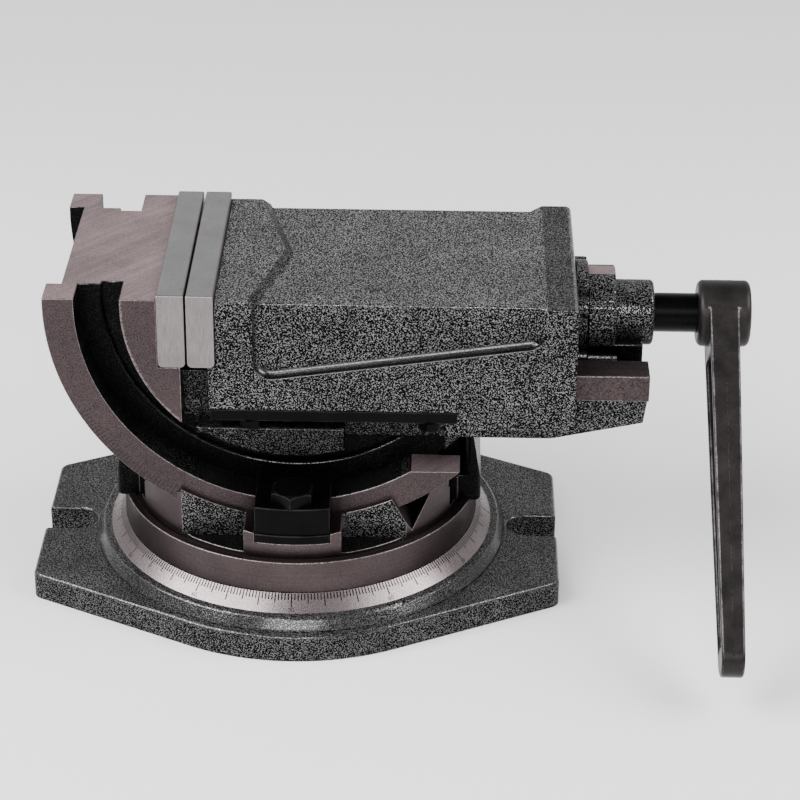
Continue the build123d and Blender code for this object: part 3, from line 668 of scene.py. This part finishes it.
def body_finish(patch):
    near, far = patch.span(from_tilt)
    left, right, inner, bottom = patch.left, patch.right, patch.inner, patch.bottom
    if bottom > JAW_TOP_Z - TOUCH:
        return "milled"
    if inner > BODY_HALF - TOUCH:
        return "sector" if far < JAW_SECTOR + 0.5 else "faced"
    if near > RIM_OUTER - NEAR and inner > RIM_IN_Y - 1:
        return "faced"
    if abs(bottom - RIM_END_Z) < TOUCH and abs(patch.top - RIM_END_Z) < TOUCH:
        return "milled"
    if left > PAINT_END_X - TOUCH and inner > RAIL_IN - TOUCH and bottom > RAIL_FOOT_Z - TOUCH:
        return "rail" if patch.normal.z > 0.9 else "faced"
    upright = abs(patch.normal.x) > 0.9
    if upright and right < JAW_SEAT_X + TOUCH and bottom > JAW_SEAT_Z and near < JAW_SECTOR:
        return "faced"
    # the channels and the well between the rims get the black: paint and painted shade
    channel = near > JAW_SECTOR - 0.5 and right < CHANNEL_END_X and far - near < 1
    if channel or inner < RIM_IN_Y + 1 and left < WELL_END_X:
        return "cast_black"
    return "hammer" if left > OPEN_X - TOUCH else "hammer_shade"


def jaw_finish(patch):
    if patch.outer < RAIL_HALF + NEAR and patch.middle.z < RAIL_TOP_Z + 0.5:
        return "faced"
    rise = patch.normal.z
    # undersides get the black: painted shade
    if rise < -0.9:
        return "cast_black"
    on_panel = patch.outer > PANEL_Y - TOUCH and patch.inner > PANEL_Y - NEAR
    # the ledge below each panel gets darkened enamel: painted shade
    if on_panel and patch.bottom < PANEL_TOP_Z and rise > 0.3:
        return "ledge"
    pad_slope = patch.bottom > PAD_FOOT_Z and patch.right < 0 and 0.3 < rise < 0.95
    end_top = patch.left > END_TOP_X and rise > 0.95
    # the pad's slopes and the end block's top get the darker enamel: painted shade
    return "hammer_dim" if pad_slope or end_top else "hammer"


def housing_finish(patch):
    if patch.normal.z > 0.99 and abs(patch.middle.z - HOUSING_FLAT_Z) < TOUCH:
        return "milled"
    # the foot under the sleeve gets the black: painted shade
    return "cast_black" if patch.top < HOUSING_FOOT_Z + TOUCH else "hammer_round"


def plate_finish(patch):
    return "ground" if patch.normal.z > 0.9 else "ground_side"


# ---- graduations -------------------------------------------------------------------
def cone_point(azimuth, down, depth=0.0):
    """A point on the base's cone: degrees about Z from +X, millimetres down the slope
    from its top edge, and millimetres below its surface."""
    run, drop = CONE_LOW[0] - CONE_TOP[0], CONE_TOP[1] - CONE_LOW[1]
    slope = sqrt(run ** 2 + drop ** 2)
    radius = CONE_TOP[0] + run * down / slope - depth * drop / slope
    height = CONE_TOP[1] - drop * down / slope - depth * run / slope
    turn = radians(azimuth)
    return Vector((radius * cos(turn), radius * sin(turn), height))


def tick_length(degree, lengths):
    """Tens have the longest lines, and fives the next."""
    return lengths[0] if degree % 10 == 0 else lengths[1] if degree % 5 == 0 else lengths[2]


def cone_scale():
    """The cone's face as a thin ring with a V groove for every degree."""
    foot = sqrt((CONE_LOW[0] - CONE_TOP[0]) ** 2 + (CONE_TOP[1] - CONE_LOW[1]) ** 2)
    half = degrees(GROOVE_HALF / CONE_TOP[0])
    shape = bmesh.new()
    columns = []
    for degree in range(360):
        length = tick_length(degree, CONE_TICKS)

        def corner(side, down, depth=0.0):
            return shape.verts.new(cone_point(degree + side * half, down, depth))

        left = [corner(-1, 0), corner(-1, length), corner(-1, foot)]
        right = [corner(1, 0), corner(1, length), corner(1, foot)]
        groove = [corner(0, 0, GROOVE_HALF), corner(0, length - GROOVE_HALF, GROOVE_HALF)]
        back = [corner(0, foot, RING_DEPTH), corner(0, 0, RING_DEPTH)]
        walls = [shape.faces.new((left[0], groove[0], groove[1], left[1])),
                 shape.faces.new((groove[0], right[0], right[1], groove[1])),
                 shape.faces.new((left[1], groove[1], right[1]))]
        for wall in walls:
            wall.material_index = 1
        shape.faces.new((left[1], right[1], right[2], left[2]))
        shape.faces.new((left[2], right[2], back[0]))
        shape.faces.new((left[0], back[1], right[0], groove[0]))
        columns.append((left, right, back))
    for (_, near, near_back), (far, _, far_back) in zip(columns, columns[1:] + columns[:1]):
        shape.faces.new((near[0], far[0], far[1], far[2], near[2], near[1]))
        shape.faces.new((near[2], far[2], far_back[0], near_back[0]))
        shape.faces.new((near_back[0], far_back[0], far_back[1], near_back[1]))
        shape.faces.new((near_back[1], far_back[1], far[0], near[0]))
    ring = new_piece("graduated_ring", shape, "base", "cone")
    ring.data.materials.append(MATERIALS["groove"])


def make_room_for_ring(piece):
    """Sinks the casting's cone face, so that the graduated ring lies flush in it."""
    shape = bmesh.new()
    shape.from_mesh(piece.data)
    polygons = piece.data.polygons
    cone = [face for face in shape.faces if is_cone(Patch(piece.data, polygons[face.index]))]
    bmesh.ops.inset_region(shape, faces=cone, thickness=0.02 * MM, depth=-RING_DEPTH * MM,
                           use_even_offset=True)
    shape.to_mesh(piece.data)
    shape.free()


def digits(text, height):
    """A number as a thin solid 0.1 mm thick, in millimetres, centred on the origin."""
    curve = bpy.data.curves.new("digits", "FONT")
    curve.body = text
    curve.align_x = "CENTER"
    curve.align_y = "CENTER"
    curve.size = height / CAPITAL
    curve.extrude = 0.05
    curve.resolution_u = 3
    source = bpy.data.objects.new("digits", curve)
    bpy.context.scene.collection.objects.link(source)
    mesh = bpy.data.meshes.new_from_object(source.evaluated_get(
        bpy.context.evaluated_depsgraph_get()))
    shape = bmesh.new()
    shape.from_mesh(mesh)
    bpy.data.objects.remove(source)
    bpy.data.meshes.remove(mesh)
    bpy.data.curves.remove(curve)
    return shape


def cone_numbers():
    """0 to 90 and back, every 30 degrees, along the foot of the cone."""
    down, radius, sunk = 7.05, CONE_LOW[0] - 1.5, 0.03
    for azimuth in range(0, 360, 30):
        value = abs((azimuth + 90) % 180 - 90)
        shape = digits(str(value), DIGIT_HEIGHTS[0])
        for vert in shape.verts:
            across, up, proud = vert.co
            turn = azimuth + degrees(across / radius)
            vert.co = cone_point(turn, down - up, sunk - proud)
        new_piece(f"cone_number_{azimuth}", shape, "base", "engraving", False)


def rim_scale(y_sign):
    """Degree lines on the rocker rim's face, from its outer edge inwards, with their
    numbers. The lines are thin bars, let in and hardly proud of the face."""
    line_half, from_edge, proud, sunk = 0.13, 0.35, 0.015, 0.3
    shape = bmesh.new()
    face_y = y_sign * BODY_HALF
    axis = Vector((0, 0, TILT_Z))
    for degree in range(31):
        turn = radians(INDEX_TURN - degree)
        along = Vector((cos(turn), 0, sin(turn)))
        across = Vector((-along.z, 0, along.x)) * line_half
        ends = [axis + along * (RIM_OUTER - from_edge),
                axis + along * (RIM_OUTER - tick_length(degree, RIM_TICKS))]
        rings = []
        for depth in (face_y + y_sign * proud, face_y - y_sign * sunk):
            ring = [ends[0] - across, ends[0] + across, ends[1] + across, ends[1] - across]
            rings.append([shape.verts.new((p.x, depth, p.z)) for p in ring])
        front, back = rings
        shape.faces.new(front)
        shape.faces.new(back[::-1])
        for i in range(4):
            j = (i + 1) % 4
            shape.faces.new((front[i], back[i], back[j], front[j]))
    side = "front" if y_sign < 0 else "rear"
    new_piece(f"{side}_rim_scale", shape, "vise", "engraving", False)
    middle, let_in = RIM_OUTER - 7.4, 0.035
    for degree in range(10, 31, 10):
        shape = digits(str(degree), DIGIT_HEIGHTS[1])
        for vert in shape.verts:
            across, up, out = vert.co
            radius = middle + up
            angle = radians(INDEX_TURN - degree) - y_sign * across / radius
            vert.co = (radius * cos(angle), face_y + y_sign * (out - let_in),
                       TILT_Z + radius * sin(angle))
        new_piece(f"{side}_rim_number_{degree}", shape, "vise",
                  "engraving", False)


# ---- screw ---------------------------------------------------------------------------
def ring_about_screw(shape, x, radius, count):
    """A ring of points round the screw's axis, or one point on it."""
    turns = [tau * i / count for i in range(count)]
    return [shape.verts.new((x, radius * cos(turn), SCREW_Z + radius * sin(turn)))
            for turn in turns]


def threaded_screw():
    """The trapezoidal thread as a helical band round its core, then the plain journal."""
    outer, root, steps = THREAD_R, THREAD_R - PITCH / 2, 36
    profile = [(0.0, root), (0.9, outer), (2.0, outer), (2.9, root), (PITCH, root)]
    start, end = THREAD_X
    turns = int((end - start) / PITCH)
    shape = bmesh.new()
    rows = []
    for step in range(turns * steps + 1):
        turn = tau * step / steps
        ring = []
        for along, radius in profile:
            x = min(max(start + PITCH * step / steps + along, start), end)
            place = x, radius * cos(turn), SCREW_Z + radius * sin(turn)
            ring.append(shape.verts.new(place))
        rows.append(ring)
    for row, after in zip(rows, rows[1:]):
        for i in range(len(profile) - 1):
            shape.faces.new((row[i], row[i + 1], after[i + 1], after[i]))
    core, tip = root + 0.05, HUB_X1 - 1.0
    outline = [(start, 0), (start, root - 0.4), (start + 0.8, core), (end, core),
               (end, JOURNAL_R - 0.8), (end + 0.8, JOURNAL_R), (tip - 0.6, JOURNAL_R),
               (tip, JOURNAL_R - 0.6), (tip, 0)]
    rings = [ring_about_screw(shape, x, radius, ROUND if radius else 1)
             for x, radius in outline]
    for ring, after in zip(rings, rings[1:]):
        for i in range(ROUND):
            j = (i + 1) % ROUND
            quad = [ring[i % len(ring)], ring[j % len(ring)], after[j % len(after)],
                    after[i % len(after)]]
            shape.faces.new(list(dict.fromkeys(quad)))
    bmesh.ops.remove_doubles(shape, verts=shape.verts, dist=0.0005)
    piece = new_piece("threaded_screw", shape, "screw", "gloss")
    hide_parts("lead_screw")


def crank_seam():
    """The forging's flash line, a low broken ridge down the arm's front edge. Where
    its height falls below nothing it runs under the arm's surface."""
    shape = bmesh.new()
    tilt = Matrix.Rotation(radians(-CRANK_DROP), 3, "X")
    hub = Vector((0, 0, SCREW_Z))
    start, end, steps = 34.0, CRANK_LENGTH + 2, 220
    half, root, ridge, sway = 0.28, 0.2, 0.34, 0.35
    rows = []
    for step in range(steps + 1):
        along = start + (end - start) * step / steps
        across = CRANK_HALF[0] + (CRANK_HALF[1] - CRANK_HALF[0]) * min(along / CRANK_LENGTH, 1)
        rough = noise_value(Vector((along * 0.9, 0, 0)))
        height = ridge * (rough + 0.05 + 0.25 * step / steps)
        wander = sway * noise_value(Vector((along * 0.08, 5, 0)))
        section = [(-half, -root), (0, height), (half, -root)]
        places = [Vector((CRANK_X + wander + side, -across - proud, -along))
                  for side, proud in section]
        rows.append([shape.verts.new(hub + tilt @ place) for place in places])
    for row, after in zip(rows, rows[1:]):
        for i in range(3):
            j = (i + 1) % 3
            shape.faces.new((row[i], row[j], after[j], after[i]))
    shape.faces.new(rows[0])
    shape.faces.new(rows[-1][::-1])
    # the seam takes the lighter edge finish: part wear, part painted highlight
    new_piece("crank_seam", shape, "screw", "phosphate_edge")


def main():
    """Builds the studio and every visible piece; widths are of rounded edges."""
    make_camera()
    make_studio()
    base = casting("base_plate", "base",
                   {"hammer_calm": 0.9, "cone": 0.2, "faced": 0.2}, base_finish)
    make_room_for_ring(base)
    cone_scale()
    cone_numbers()
    casting("turntable", "table",
            {"hammer": 0.8, "turned": 0.35, "drum": 0.3, "cast_black": 0.4}, table_finish,
            edge="edge")
    cuts = [((x, 0, 0), (1, 0, 0)) for x in (PAINT_END_X, OPEN_X)]
    casting("vise_body", "vise",
            {"cast_black": 0.7, "milled": 0.35, "faced": 0.35, "sector": 0.35, "rail": 0.3,
             "hammer": 0.8, "hammer_shade": 0.8}, body_finish, cuts=cuts, edge="edge")
    rim_scale(-1)
    rim_scale(1)
    casting("movable_jaw", "jaw",
            {"hammer": 0.6, "hammer_dim": 0.6, "ledge": 0.6, "faced": 0.3, "cast_black": 0.6},
            jaw_finish, 3)
    casting("thrust_housing", "jaw",
            {"hammer_round": 0.7, "milled": 0.4, "cast_black": 0.6}, housing_finish)
    for side, body in (("fixed", "vise"), ("movable", "jaw")):
        casting(f"{side}_jaw_plate", body, {"ground": 0.3, "ground_side": 0.3},
                plate_finish)
    for side in ("front", "rear"):
        for cad_name, body, width in ((f"{side}_tilt_clamp", "table", 0.4),
                                      (f"{side}_clamp_bolt", f"{side}_bolt", 0.25),
                                      (f"{side}_keeper_strip", "jaw", 0.3)):
            casting(cad_name, body, {"oxide": width}, lambda p: "oxide",
                    edge="oxide_edge")
    casting("crank_handle", "screw", {"phosphate": 0.9},
            lambda p: "phosphate", edge="phosphate_edge")
    crank_seam()
    threaded_screw()
    for cad_name, finish in KEPT.items():
        piece = NODES[cad_name]
        piece.data.materials.clear()
        piece.data.materials.append(MATERIALS[finish])


MATERIALS = make_materials()
main()
